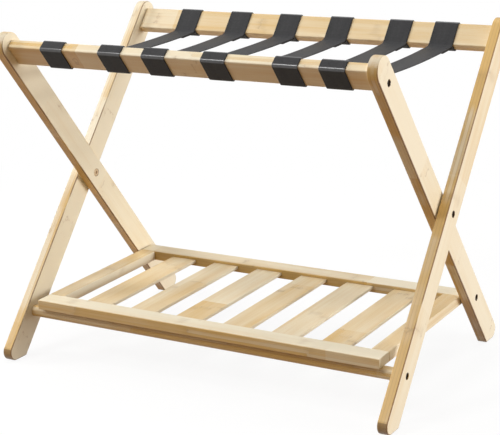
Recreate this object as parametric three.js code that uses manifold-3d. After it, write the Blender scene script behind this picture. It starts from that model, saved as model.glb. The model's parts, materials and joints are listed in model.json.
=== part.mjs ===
// Folding luggage rack. Two crossed bamboo frames turn on a bolt at each side, webbing straps
// looped round the two top rails hold them open, and a slatted shelf hinged in the inner frame
// rests on a bar of the outer frame.
// Millimetres, +Z up, +X along the rails, -Y to the front, origin on the floor below the pivot.

import * as THREE from 'three';
import { mergeVertices } from 'three/addons/utils/BufferGeometryUtils.js';
import loadManifold from 'manifold-3d';

const manifold = await loadManifold();
manifold.setup();

// Overall frame and legs
const OVERALL_LENGTH = 680;
const LEG_WIDTH = 42;
const LEG_THICKNESS = 16;
const LEG_TILT_DEG = 39.5;
const LEG_GAP = 2;
const PIVOT_HEIGHT = 266;
const PIVOT_TO_ROUND_END = 315;
const FOOT_ROUND = 14;

// Top rails and the lower bar, measured from the pivot along the legs
const PIVOT_TO_RAIL = 301;
const RAIL_WIDTH = 40;
const RAIL_THICKNESS = 16;
const RAIL_BOLT_OFFSET = 10;
const RAIL_DOWEL_OFFSET = 10;
const PIVOT_TO_BAR = 256;
const BAR_SIDE = 18;
const BAR_ROUND = 7;

// Shelf panel
const PIVOT_TO_SHELF = 226;
const SHELF_DEPTH = 332;
const SHELF_PIVOT_INSET = 9;
const SHELF_SIDE_GAP = 2;
const BOARD_DEPTH = 34;
const BOARD_THICKNESS = 16;
const SIDE_BOARD_WIDTH = 29;
const TENON_LENGTH = 12;
const TENON_THICKNESS = 6;
const TENON_SHOULDER = 6;
const SLAT_COUNT = 6;
const SLAT_WIDTH = 48;
const SLAT_THICKNESS = 5;
const SLAT_DROP = 5;
const SLAT_HOUSING = 10;

// Straps. They are spaced by hand, so each end has a shift from an even row between the end gaps.
const STRAP_WIDTH = 40;
const STRAP_THICKNESS = 1.8;
const STRAP_SAG = 6;
const STRAP_DROP = 6;
const STRAP_LEFT_GAP = 63;
const STRAP_RIGHT_GAP = 37;
const STRAP_FRONT_SHIFT = [0, 11.6, -5.8, 0.8, 22.4, 0];
const STRAP_BACK_SHIFT = [-5, -0.4, 0.2, 0.8, 12.4, -4];

// Fasteners
const BOLT_RADIUS = 3;
const BOLT_HEAD_RADIUS = 4.7;
const BOLT_HEAD_HEIGHT = 3.5;
const BOLT_HEAD_RECESS = 2.5;
const BOLT_SOCKET_RADIUS = 2.4;
const BOLT_SOCKET_DEPTH = 2;
const BOLT_CHAMFER = 0.5;
const BOLT_GRIP = 28;
const SLEEVE_RADIUS = 4.7;
const SLEEVE_END_WALL = 3;
const SLEEVE_SETBACK = 2;
const SLEEVE_FLANGE_RADIUS = 6.5;
const SLEEVE_FLANGE_THICKNESS = 1.5;
const WASHER_RADIUS = 9;
const SPACER_RADIUS = 7;
const DOWEL_RADIUS = 4;
const DOWEL_IN_LEG = 9;
const DOWEL_IN_RAIL = 22;

// Gap between pieces that fit together, and how far a cutting tool runs past a face
const CLEARANCE = 0.3;
const OVERRUN = 1;
const ROUND_SEGMENTS = 16;
const ARC_STEPS = 8;
const SPAN_STEPS = 10;

// Places worked out from the sizes above
const tilt = THREE.MathUtils.degToRad(LEG_TILT_DEG);
const outerFace = OVERALL_LENGTH / 2;
const outerInside = outerFace - LEG_THICKNESS;
const innerFace = outerInside - LEG_GAP;
const innerInside = innerFace - LEG_THICKNESS;
const shelfHalf = innerInside - SHELF_SIDE_GAP;
const headDepth = BOLT_HEAD_RECESS + BOLT_HEAD_HEIGHT;
const sides = [['left', -1], ['right', 1]];

const bamboo = new THREE.MeshStandardMaterial({ color: 0xe3c596, roughness: 0.5, metalness: 0 });
const webbing = new THREE.MeshStandardMaterial({ color: 0x2b2a2b, roughness: 0.65, metalness: 0 });
const steel = new THREE.MeshStandardMaterial({ color: 0x4a443e, roughness: 0.4, metalness: 1 });
const nylon = new THREE.MeshStandardMaterial({ color: 0x9a8f80, roughness: 0.6, metalness: 0 });

// Geometry to solid and back, for cutting holes and housings and joining tenons
function solidOf(geometry) {
  const bare = geometry.clone();
  bare.deleteAttribute('normal');
  bare.deleteAttribute('uv');
  const merged = mergeVertices(bare, 1e-4);
  return new manifold.Manifold(new manifold.Mesh({
    numProp: 3,
    vertProperties: new Float32Array(merged.attributes.position.array),
    triVerts: new Uint32Array(merged.index.array),
  }));
}

function geometryOf(solid) {
  const mesh = solid.getMesh();
  const geometry = new THREE.BufferGeometry();
  geometry.setAttribute('position', new THREE.BufferAttribute(mesh.vertProperties, 3));
  geometry.setIndex(new THREE.BufferAttribute(mesh.triVerts, 1));
  geometry.computeVertexNormals();
  return geometry;
}

function cut(geometry, tools) {
  return geometryOf(tools.reduce((solid, tool) => solid.subtract(solidOf(tool)), solidOf(geometry)));
}

function join(geometry, other) {
  return geometryOf(solidOf(geometry).add(solidOf(other)));
}

// A block between two corners
function block(x0, x1, y0, y1, z0, z1) {
  const geometry = new THREE.BoxGeometry(x1 - x0, y1 - y0, z1 - z0);
  return geometry.translate((x0 + x1) / 2, (y0 + y1) / 2, (z0 + z1) / 2);
}

// A profile drawn in the YZ plane, extruded along X
function extrudeAlongX(shape, x0, x1) {
  const geometry = new THREE.ExtrudeGeometry(shape, { depth: x1 - x0, bevelEnabled: false });
  const yzPlane = new THREE.Matrix4().makeBasis(
    new THREE.Vector3(0, 1, 0),
    new THREE.Vector3(0, 0, 1),
    new THREE.Vector3(1, 0, 0),
  );
  return geometry.applyMatrix4(yzPlane).translate(x0, 0, 0);
}

// A round rod along X between two places, used for holes and dowels
function rod(radius, xa, xb, y, z) {
  const geometry = new THREE.CylinderGeometry(radius, radius, Math.abs(xb - xa), ROUND_SEGMENTS);
  return geometry.rotateZ(Math.PI / 2).translate((xa + xb) / 2, y, z);
}

// A turned piece about X. Its profile's height runs outwards from x0 on the given side.
function turned(profile, side, x0, y, z) {
  const points = profile.map(([radius, height]) => new THREE.Vector2(radius, height));
  const geometry = new THREE.LatheGeometry(points, ROUND_SEGMENTS);
  return geometry.rotateZ(-side * Math.PI / 2).translate(side * x0, y, z);
}

// Hole for a bolt whose head lies in a counterbore below the face at xFace
function boltHole(side, xFace, xEnd, y, z) {
  const shank = BOLT_RADIUS + CLEARANCE;
  const head = BOLT_HEAD_RADIUS + CLEARANCE;
  return [
    rod(shank, side * (xFace + OVERRUN), side * xEnd, y, z),
    rod(head, side * (xFace + OVERRUN), side * (xFace - headDepth), y, z),
  ];
}

// Socket-head bolt with its head's underside at the bottom of the counterbore below xFace
function bolt(side, xFace, xTip, y, z) {
  const xHead = xFace - headDepth;
  const tip = xTip - xHead;
  return turned([
    [0, tip],
    [BOLT_RADIUS - BOLT_CHAMFER, tip],
    [BOLT_RADIUS, tip + BOLT_CHAMFER],
    [BOLT_RADIUS, 0],
    [BOLT_HEAD_RADIUS, 0],
    [BOLT_HEAD_RADIUS, BOLT_HEAD_HEIGHT - BOLT_CHAMFER],
    [BOLT_HEAD_RADIUS - BOLT_CHAMFER, BOLT_HEAD_HEIGHT],
    [BOLT_SOCKET_RADIUS, BOLT_HEAD_HEIGHT],
    [BOLT_SOCKET_RADIUS, BOLT_HEAD_HEIGHT - BOLT_SOCKET_DEPTH],
    [0, BOLT_HEAD_HEIGHT - BOLT_SOCKET_DEPTH],
  ], side, xHead, y, z);
}

// Flat ring round a bolt, from x0 outwards
function ring(side, x0, thickness, radius) {
  const bore = BOLT_RADIUS + CLEARANCE;
  const corners = [[bore, 0], [radius, 0], [radius, thickness], [bore, thickness], [bore, 0]];
  return turned(corners, side, x0, 0, 0);
}

function addPiece(group, name, geometry, material) {
  const mesh = new THREE.Mesh(geometry, material);
  mesh.name = name;
  group.add(mesh);
  return mesh;
}

// The two frames. Each group's +Z runs up its legs, and lean is 1 where the legs lean forward.
const rack = new THREE.Group();
const innerFrame = new THREE.Group();
const outerFrame = new THREE.Group();
innerFrame.position.z = PIVOT_HEIGHT;
outerFrame.position.z = PIVOT_HEIGHT;
innerFrame.rotation.x = tilt;
outerFrame.rotation.x = -tilt;
rack.add(innerFrame, outerFrame);

// Leg outline: round top end, foot cut level with the floor and its sharp corner rounded
function legProfile(lean) {
  const half = LEG_WIDTH / 2;
  const floorAt = (y) => -(PIVOT_HEIGHT + y * Math.sin(tilt)) / Math.cos(tilt);
  const footTangent = FOOT_ROUND / Math.tan(Math.PI / 4 - tilt / 2);
  const toeY = half - footTangent * Math.cos(tilt);
  const outline = new THREE.Shape();
  outline.moveTo(-half, floorAt(-half));
  outline.lineTo(toeY, floorAt(toeY));
  outline.absarc(half - FOOT_ROUND, floorAt(half) + footTangent, FOOT_ROUND, -Math.PI / 2 - tilt, 0, false);
  outline.lineTo(half, PIVOT_TO_ROUND_END);
  outline.absarc(0, PIVOT_TO_ROUND_END, half, 0, Math.PI, false);
  const points = outline.getPoints(ARC_STEPS);
  return new THREE.Shape(points.map((point) => new THREE.Vector2(lean * point.x, point.y)));
}

function legBlank(lean, side, xInside, xOutside) {
  const ends = [side * xInside, side * xOutside];
  return extrudeAlongX(legProfile(lean), Math.min(...ends), Math.max(...ends));
}

const railBoltZ = PIVOT_TO_RAIL - RAIL_BOLT_OFFSET;
const railDowelZ = PIVOT_TO_RAIL + RAIL_DOWEL_OFFSET;

// Blind dowel hole across the joint between a leg's inside face and a rail's end
function dowelHole(side, xJoint) {
  const inLeg = side * (xJoint + DOWEL_IN_LEG + CLEARANCE);
  const inRail = side * (xJoint - DOWEL_IN_RAIL - CLEARANCE);
  return rod(DOWEL_RADIUS + CLEARANCE, inLeg, inRail, 0, railDowelZ);
}

for (const [name, side] of sides) {
  const outerLeg = cut(legBlank(-1, side, outerInside, outerFace), [
    ...boltHole(side, outerFace, outerInside - OVERRUN, 0, railBoltZ),
    ...boltHole(side, outerFace, outerInside - OVERRUN, 0, 0),
    ...boltHole(side, outerFace, outerInside - OVERRUN, 0, -PIVOT_TO_BAR),
    dowelHole(side, outerInside),
  ]);
  addPiece(outerFrame, `outer_leg_${name}`, outerLeg, bamboo);

  const sleeveHole = SLEEVE_RADIUS + CLEARANCE;
  const flangeHole = SLEEVE_FLANGE_RADIUS + CLEARANCE;
  const flangeSeat = side * (innerInside + SLEEVE_FLANGE_THICKNESS);
  const innerLeg = cut(legBlank(1, side, innerInside, innerFace), [
    ...boltHole(side, innerFace, innerInside - OVERRUN, 0, railBoltZ),
    ...boltHole(side, innerFace, innerInside - OVERRUN, 0, -PIVOT_TO_SHELF),
    rod(sleeveHole, side * (innerInside - OVERRUN), side * (innerFace + OVERRUN), 0, 0),
    rod(flangeHole, side * (innerInside - OVERRUN), flangeSeat, 0, 0),
    dowelHole(side, innerInside),
  ]);
  addPiece(innerFrame, `inner_leg_${name}`, innerLeg, bamboo);
}

// Top rails, one between each frame's legs, each held by a bolt and a dowel at both ends
function rail(xEnd) {
  const blank = block(
    -xEnd, xEnd,
    -RAIL_THICKNESS / 2, RAIL_THICKNESS / 2,
    PIVOT_TO_RAIL - RAIL_WIDTH / 2, PIVOT_TO_RAIL + RAIL_WIDTH / 2,
  );
  const hole = BOLT_RADIUS + CLEARANCE;
  const depth = BOLT_GRIP + CLEARANCE;
  const holes = sides.flatMap(([, side]) => [
    rod(hole, side * (xEnd + OVERRUN), side * (xEnd - depth), 0, railBoltZ),
    dowelHole(side, xEnd),
  ]);
  return cut(blank, holes);
}

function addRail(group, railName, xEnd, xFace) {
  addPiece(group, railName, rail(xEnd), bamboo);
  for (const [name, side] of sides) {
    const railBolt = bolt(side, xFace, xEnd - BOLT_GRIP, 0, railBoltZ);
    addPiece(group, `${railName}_bolt_${name}`, railBolt, steel);
    const pegEnds = [side * (xEnd + DOWEL_IN_LEG), side * (xEnd - DOWEL_IN_RAIL)];
    const peg = rod(DOWEL_RADIUS, ...pegEnds, 0, railDowelZ);
    addPiece(group, `${railName}_dowel_${name}`, peg, bamboo);
  }
}

addRail(innerFrame, 'front_rail', innerInside, innerFace);
addRail(outerFrame, 'back_rail', outerInside, outerFace);

// Main pivot: bolt and washer with the outer leg, sleeve nut flush in the inner leg
const sleeveLength = LEG_THICKNESS - SLEEVE_SETBACK;
const sleeveBore = BOLT_RADIUS + CLEARANCE;
for (const [name, side] of sides) {
  const tip = innerInside + SLEEVE_END_WALL + CLEARANCE;
  addPiece(outerFrame, `pivot_bolt_${name}`, bolt(side, outerFace, tip, 0, 0), steel);
  addPiece(outerFrame, `pivot_washer_${name}`, ring(side, innerFace, LEG_GAP, WASHER_RADIUS), nylon);
  const sleeve = turned([
    [0, 0],
    [SLEEVE_FLANGE_RADIUS, 0],
    [SLEEVE_FLANGE_RADIUS, SLEEVE_FLANGE_THICKNESS],
    [SLEEVE_RADIUS, SLEEVE_FLANGE_THICKNESS],
    [SLEEVE_RADIUS, sleeveLength],
    [sleeveBore, sleeveLength],
    [sleeveBore, SLEEVE_END_WALL],
    [0, SLEEVE_END_WALL],
  ], side, innerInside, 0, 0);
  addPiece(innerFrame, `pivot_sleeve_${name}`, sleeve, steel);
}

// Lower bar of the outer frame: a stick with well rounded edges and a bolt through each outer leg
const barY = -PIVOT_TO_BAR * Math.sin(tilt);
const barZ = PIVOT_HEIGHT - PIVOT_TO_BAR * Math.cos(tilt);
const barFlat = BAR_SIDE / 2 - BAR_ROUND;

function barProfile() {
  const outline = new THREE.Shape();
  outline.absarc(barY + barFlat, barZ + barFlat, BAR_ROUND, 0, Math.PI / 2, false);
  outline.absarc(barY - barFlat, barZ + barFlat, BAR_ROUND, Math.PI / 2, Math.PI, false);
  outline.absarc(barY - barFlat, barZ - barFlat, BAR_ROUND, Math.PI, 1.5 * Math.PI, false);
  outline.absarc(barY + barFlat, barZ - barFlat, BAR_ROUND, 1.5 * Math.PI, 2 * Math.PI, false);
  return new THREE.Shape(outline.getPoints(ARC_STEPS / 2));
}

const barBlank = extrudeAlongX(barProfile(), -outerInside, outerInside);
const barHoles = sides.map(([, side]) => {
  const end = side * (outerInside - BOLT_GRIP - CLEARANCE);
  return rod(BOLT_RADIUS + CLEARANCE, side * (outerInside + OVERRUN), end, barY, barZ);
});
addPiece(rack, 'lower_bar', cut(barBlank, barHoles), bamboo);
for (const [name, side] of sides) {
  const barBolt = bolt(side, outerFace, outerInside - BOLT_GRIP, 0, -PIVOT_TO_BAR);
  addPiece(outerFrame, `lower_bar_bolt_${name}`, barBolt, steel);
}

// Shelf panel. Its group sits on the shelf's hinge line, tilted so that the panel's underside
// lies on the flat top of the lower bar.
const shelfY = PIVOT_TO_SHELF * Math.sin(tilt);
const shelfZ = PIVOT_HEIGHT - PIVOT_TO_SHELF * Math.cos(tilt);
const toBar = shelfY - (barY - barFlat);
const aboveBar = shelfZ - (barZ + BAR_SIDE / 2 + CLEARANCE);
const shelfTilt = Math.acos(BOARD_THICKNESS / 2 / Math.hypot(toBar, aboveBar)) - Math.atan2(toBar, aboveBar);

const shelf = new THREE.Group();
shelf.position.set(0, shelfY, shelfZ);
shelf.rotation.x = shelfTilt;
rack.add(shelf);

const shelfBack = SHELF_PIVOT_INSET;
const shelfFront = SHELF_PIVOT_INSET - SHELF_DEPTH;
const boardTop = BOARD_THICKNESS / 2;
const frontInside = shelfFront + BOARD_DEPTH;
const backInside = shelfBack - BOARD_DEPTH;
const sideInside = shelfHalf - SIDE_BOARD_WIDTH;
const slatTop = boardTop - SLAT_DROP;
const slatSpacing = (2 * sideInside - SLAT_COUNT * SLAT_WIDTH) / (SLAT_COUNT + 1) + SLAT_WIDTH;

function slatMiddle(index) {
  return (index - (SLAT_COUNT - 1) / 2) * slatSpacing;
}

// A slat's body, or with some room added, the housing that it fits
function slatBlock(index, room) {
  const x = slatMiddle(index);
  return block(
    x - SLAT_WIDTH / 2 - room, x + SLAT_WIDTH / 2 + room,
    frontInside - SLAT_HOUSING + CLEARANCE - room, backInside + SLAT_HOUSING - CLEARANCE + room,
    slatTop - SLAT_THICKNESS - room, slatTop + room,
  );
}

function tenonBlock(side, room) {
  const ends = [side * (sideInside + TENON_SHOULDER), side * (shelfHalf - TENON_SHOULDER)];
  return block(
    Math.min(...ends) - room, Math.max(...ends) + room,
    frontInside - TENON_LENGTH + CLEARANCE - room, backInside + TENON_LENGTH - CLEARANCE + room,
    -TENON_THICKNESS / 2 - room, TENON_THICKNESS / 2 + room,
  );
}

const slats = Array.from({ length: SLAT_COUNT }, (unused, index) => index);
const housings = [
  ...slats.map((index) => slatBlock(index, CLEARANCE)),
  ...sides.map(([, side]) => tenonBlock(side, CLEARANCE)),
];
const hingeHoles = sides.map(([, side]) => {
  const end = side * (shelfHalf - BOLT_GRIP - CLEARANCE);
  return rod(BOLT_RADIUS + CLEARANCE, side * (shelfHalf + OVERRUN), end, 0, 0);
});

const frontBoard = block(-shelfHalf, shelfHalf, shelfFront, frontInside, -boardTop, boardTop);
const backBoard = block(-shelfHalf, shelfHalf, backInside, shelfBack, -boardTop, boardTop);
addPiece(shelf, 'shelf_front_board', cut(frontBoard, housings), bamboo);
addPiece(shelf, 'shelf_back_board', cut(backBoard, [...housings, ...hingeHoles]), bamboo);

for (const [name, side] of sides) {
  const ends = [side * sideInside, side * shelfHalf];
  const body = block(
    Math.min(...ends), Math.max(...ends),
    frontInside + CLEARANCE, backInside - CLEARANCE,
    -boardTop, boardTop,
  );
  addPiece(shelf, `shelf_side_board_${name}`, join(body, tenonBlock(side, 0)), bamboo);
}

for (const index of slats) {
  addPiece(shelf, `shelf_slat_${index + 1}`, slatBlock(index, 0), bamboo);
}

// Shelf hinge: a bolt through each inner leg into the back board, with a spacer between them
for (const [name, side] of sides) {
  const hingeBolt = bolt(side, innerFace, shelfHalf - BOLT_GRIP, 0, -PIVOT_TO_SHELF);
  addPiece(innerFrame, `shelf_bolt_${name}`, hingeBolt, steel);
  const spacer = ring(side, shelfHalf, SHELF_SIDE_GAP, SPACER_RADIUS);
  addPiece(innerFrame, `shelf_spacer_${name}`, spacer.translate(0, 0, -PIVOT_TO_SHELF), nylon);
}

// Straps: a loop round each rail and a span between the loops. The two ends of a loop meet in a
// short lip below the rail's inner lower edge, where the span leaves it.
const loopInside = CLEARANCE;
const loopOutside = CLEARANCE + STRAP_THICKNESS;

function loopOutline(room, lip) {
  const side = RAIL_THICKNESS / 2;
  const top = PIVOT_TO_RAIL + RAIL_WIDTH / 2;
  const bottom = PIVOT_TO_RAIL - RAIL_WIDTH / 2;
  const corners = [
    [side + room, top],
    [side, top + room],
    [-side, top + room],
    [-side - room, top],
    [-side - room, bottom],
    [-side, bottom - room],
    ...lip(side + room, bottom - room),
  ];
  return corners.map(([y, z]) => new THREE.Vector2(y, z));
}

// A loop with its lip on the frame's +Y side, or after half a turn about Z on the other
function loop(x, turn) {
  const lipLength = STRAP_DROP + STRAP_THICKNESS;
  const lip = (y, z) => [
    [y - 2 * STRAP_THICKNESS, z],
    [y - 2 * STRAP_THICKNESS, z - lipLength],
    [y, z - lipLength],
  ];
  const outline = new THREE.Shape(loopOutline(loopOutside, lip));
  const corner = (y, z) => [[y, z]];
  outline.holes.push(new THREE.Path(loopOutline(loopInside, corner)));
  const geometry = extrudeAlongX(outline, -STRAP_WIDTH / 2, STRAP_WIDTH / 2);
  return geometry.rotateZ(turn).translate(x, 0, 0);
}

// Middle of the span's end, against the lip of the loop
const endY = RAIL_THICKNESS / 2 + loopOutside + CLEARANCE;
const endZ = PIVOT_TO_RAIL - RAIL_WIDTH / 2 - STRAP_DROP;
const spanHalf = endZ * Math.sin(tilt) - endY * Math.cos(tilt);
const spanZ = PIVOT_HEIGHT + endZ * Math.cos(tilt) + endY * Math.sin(tilt);

function spanProfile() {
  const half = STRAP_THICKNESS / 2;
  const edge = (offset) => Array.from({ length: SPAN_STEPS + 1 }, (unused, step) => {
    const along = 2 * step / SPAN_STEPS - 1;
    const drop = STRAP_SAG * (1 - along * along);
    const reach = spanHalf + offset * Math.tan(tilt);
    return new THREE.Vector2(along * reach, spanZ - drop + offset);
  });
  return new THREE.Shape([...edge(-half), ...edge(half).reverse()]);
}

// Middle of a strap along a rail, from the end gaps and the strap's own shift
const firstStrapX = -innerInside + STRAP_LEFT_GAP + STRAP_WIDTH / 2;
const lastStrapX = innerInside - STRAP_RIGHT_GAP - STRAP_WIDTH / 2;

function strapMiddle(index, shifts) {
  return firstStrapX + (lastStrapX - firstStrapX) * index / (shifts.length - 1) + shifts[index];
}

STRAP_FRONT_SHIFT.forEach((unused, index) => {
  const frontX = strapMiddle(index, STRAP_FRONT_SHIFT);
  const backX = strapMiddle(index, STRAP_BACK_SHIFT);
  const name = `strap_${index + 1}`;
  addPiece(innerFrame, `${name}_front_loop`, loop(frontX, 0), webbing);
  addPiece(outerFrame, `${name}_back_loop`, loop(backX, Math.PI), webbing);
  const span = extrudeAlongX(spanProfile(), -STRAP_WIDTH / 2, STRAP_WIDTH / 2);
  const skew = new THREE.Matrix4().makeShear(0, 0, (backX - frontX) / (2 * spanHalf), 0, 0, 0);
  const middle = (frontX + backX) / 2;
  addPiece(rack, `${name}_span`, span.applyMatrix4(skew).translate(middle, 0, 0), webbing);
});

export default rack;
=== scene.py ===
# A folding luggage rack: two crossed bamboo frames, webbing straps and a slatted shelf.
# Metres, +Z up, -Y to the front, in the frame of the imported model.

import json
import math

import bmesh
import bpy
from mathutils import Matrix, Vector
from mathutils.bvhtree import BVHTree


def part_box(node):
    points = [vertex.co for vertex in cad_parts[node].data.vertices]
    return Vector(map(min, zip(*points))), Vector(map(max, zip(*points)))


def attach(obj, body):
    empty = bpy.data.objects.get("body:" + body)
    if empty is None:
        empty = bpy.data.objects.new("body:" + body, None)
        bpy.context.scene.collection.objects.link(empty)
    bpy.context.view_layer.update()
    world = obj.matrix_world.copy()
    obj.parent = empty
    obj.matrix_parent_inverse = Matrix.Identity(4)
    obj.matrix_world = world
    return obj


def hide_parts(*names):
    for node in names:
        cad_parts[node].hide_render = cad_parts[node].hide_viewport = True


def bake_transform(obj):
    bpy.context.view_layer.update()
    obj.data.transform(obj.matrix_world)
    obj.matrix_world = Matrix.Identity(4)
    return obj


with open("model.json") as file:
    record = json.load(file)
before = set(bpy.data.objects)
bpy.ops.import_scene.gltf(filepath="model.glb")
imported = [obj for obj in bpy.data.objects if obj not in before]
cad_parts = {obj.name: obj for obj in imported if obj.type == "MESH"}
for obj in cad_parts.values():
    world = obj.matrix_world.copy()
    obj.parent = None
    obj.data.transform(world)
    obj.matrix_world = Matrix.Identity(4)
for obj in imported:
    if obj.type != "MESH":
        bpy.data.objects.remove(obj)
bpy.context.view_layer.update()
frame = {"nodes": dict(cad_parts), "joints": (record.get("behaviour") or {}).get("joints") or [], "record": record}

# Outer legs: a pair of flat boards with round tops, their feet sawn level with the floor, the left
# one paler, partly in its own tone and partly as painted light, and the right one's edges deeper,
# partly as painted shade of the straps' shadows. Each is glued up from strips of bamboo, planed,
# eased along its edges and lacquered. Three bolt heads sit in counterbores in its outer face, and a
# dowel holds the rail at its top.
LEG_LEAN = math.radians(39.5)
LEG_WIDTH = 0.042
PIVOT_TO_ROUND_END = 0.315
FOOT_ROUND = 0.014
LEG_EASE = 0.0016
PIVOT_TO_RAIL_BOLT = 0.291
PIVOT_TO_RAIL_DOWEL = 0.311
PIVOT_TO_BAR = 0.256
BOLT_RADIUS = 0.003
BOLT_HEAD_RADIUS = 0.0047
BOLT_HEAD_HEIGHT = 0.0035
BOLT_HEAD_RECESS = 0.0025
BORE_CHAMFER = 0.0006
DOWEL_RADIUS = 0.004
DOWEL_IN_LEG = 0.009
CLEARANCE = 0.0003
OVERRUN = 0.002
ARC_STEPS = 24
EASE_STEPS = 3
ROUNDING_STEPS = 8
SHARP_CORNER = math.radians(35)

STRIP_WIDTH = 0.021
LAYER_DEPTH = 0.0053
INTERNODE = 0.21
NODE_STAGGER = 0.22
BOARD_STAGGER = 0.37
BOARD_SHIFT = (1.7, 0.3, 0.9)
BOARD_DRAW = 4
STRIPS_A_LAYER = 9
NODE_WANDER = 0.02
NODE_CORE = 0.0003
NODE_LINE = 0.003
NODE_HALO = 0.013
NODE_LINE_SHARE = 0.32
NODE_HALO_SHARE = 0.18
GLUE_CORE = 0.0001
GLUE_LINE = 0.0007
GLUE_SHARE = 0.16
ARRIS_REACH = 0.004
FOOT_STARTS = 0.04
FOOT_FULL = -0.1
SAWN_FOOT = -0.25
SAWN_FADE = 0.01
END_GRAIN_SHARE = 0.4
BORE_SHADE_SHARE = 0.92
CLOUD_GRAIN = (6, 55, 55)
FIBRE_GRAIN = (14, 900, 900)
STREAK_GRAIN = (4, 260, 260)
BAND_GRAIN = (8, 3, 3)
WANDER_GRAIN = (40, 160, 160)
PORE_GRAIN = (300, 1100, 1100)
BREAK_GRAIN = (9, 20, 20)
STRIP_SWING = 0.10
STRIP_SWING_ON_EDGE = 0.2
STRETCH_SWING = 0.12
STRETCH_SWING_ON_EDGE = 0.25
BOARD_SWING = 0.4
CLOUD_SWING = 0.6
FIBRE_SWING = 0.25
STREAK_SWING = 0.2
BAMBOO_PALE = (0.87, 0.78, 0.59, 1)
BAMBOO_DEEP = (0.68, 0.43, 0.125, 1)
BAMBOO_NODE = (0.38, 0.22, 0.085, 1)
# End grain colour, which also paints shade on the toe.
BAMBOO_END_GRAIN_AND_SHADE = (0.24, 0.14, 0.055, 1)
BAMBOO_GLUE = (0.20, 0.085, 0.014, 1)
# Painted shade for the walls of the bores.
BAMBOO_BORE_SHADE = (0.05, 0.019, 0.006, 1)

sides = {"left": -1, "right": 1}
joints = {joint["name"]: joint for joint in frame["joints"]}
pivot_height = joints["fold"]["pos_m"][2]


class Value:
    """A node's output that takes part in Python sums."""

    def __init__(self, nodes, socket):
        self.nodes = nodes
        self.socket = socket

    def maths(self, operation, second=0.0):
        return self.nodes.add("ShaderNodeMath", {"operation": operation}, {0: self, 1: second})

    def __add__(self, other):
        return self.maths("ADD", other)

    __radd__ = __add__

    def __sub__(self, other):
        return self.maths("SUBTRACT", other)

    def __rsub__(self, other):
        return self.nodes.add("ShaderNodeMath", {"operation": "SUBTRACT"}, {0: other, 1: self})

    def __mul__(self, other):
        return self.maths("MULTIPLY", other)

    __rmul__ = __mul__

    def __truediv__(self, other):
        return self.maths("DIVIDE", other)


class Nodes:
    """A node tree that grows by one call for each node."""

    def __init__(self, tree):
        self.tree = tree

    def add(self, kind, settings=None, inputs=None, output=0):
        node = self.tree.nodes.new(kind)
        for name, value in (settings or {}).items():
            setattr(node, name, value)
        for name, value in (inputs or {}).items():
            self.feed(node.inputs[name], value)
        return Value(self, node.outputs[output])

    def feed(self, socket, value):
        if isinstance(value, Value):
            self.tree.links.new(value.socket, socket)
        else:
            socket.default_value = value

    def ramp(self, value, low, high):
        """A smooth step from 0 at the low value to 1 at the high one."""
        settings = {"interpolation_type": "SMOOTHSTEP"}
        inputs = {"Value": value, "From Min": low, "From Max": high}
        return self.add("ShaderNodeMapRange", settings, inputs)

    def mix(self, share, first, second):
        """Two colours mixed. The numbers are those of the node's colour sockets."""
        return self.add("ShaderNodeMix", {"data_type": "RGBA"}, {0: share, 6: first, 7: second}, 2)


class Finish(Nodes):
    """A material with one Principled shader and the nodes for its surface detail."""

    def __init__(self, name):
        self.material = bpy.data.materials.new(name)
        self.material.use_nodes = True
        super().__init__(self.material.node_tree)

    def surface(self, sockets):
        shader = self.tree.nodes["Principled BSDF"]
        for name, value in sockets.items():
            self.feed(shader.inputs[name], value)

    def attribute(self, name, output="Fac"):
        return self.add("ShaderNodeAttribute", {"attribute_name": name}, output=output)

    def split(self, vector):
        first = self.add("ShaderNodeSeparateXYZ", inputs={"Vector": vector})
        return [Value(self, socket) for socket in first.socket.node.outputs]

    def chance(self, *parts):
        """A random number from 0 to 1, the same wherever its parts are the same."""
        place = self.add("ShaderNodeCombineXYZ", inputs=dict(enumerate(parts)))
        return self.add("ShaderNodeTexWhiteNoise", inputs={"Vector": place})

    def noise(self, vector, stretch, detail=2.0):
        """A cloudy pattern from 0 to 1, with this many clouds a metre along each axis."""
        scaled = self.add("ShaderNodeVectorMath", {"operation": "MULTIPLY"}, {0: vector, 1: stretch})
        return self.add("ShaderNodeTexNoise", inputs={"Vector": scaled, "Scale": 1.0, "Detail": detail})

    def bump(self, height, depth, strength):
        inputs = {"Height": height, "Distance": depth, "Strength": strength}
        return self.add("ShaderNodeBump", inputs=inputs)


def swing(pattern, amount):
    """A pattern from 0 to 1 as a change about its middle."""
    return (pattern - 0.5) * amount


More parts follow.
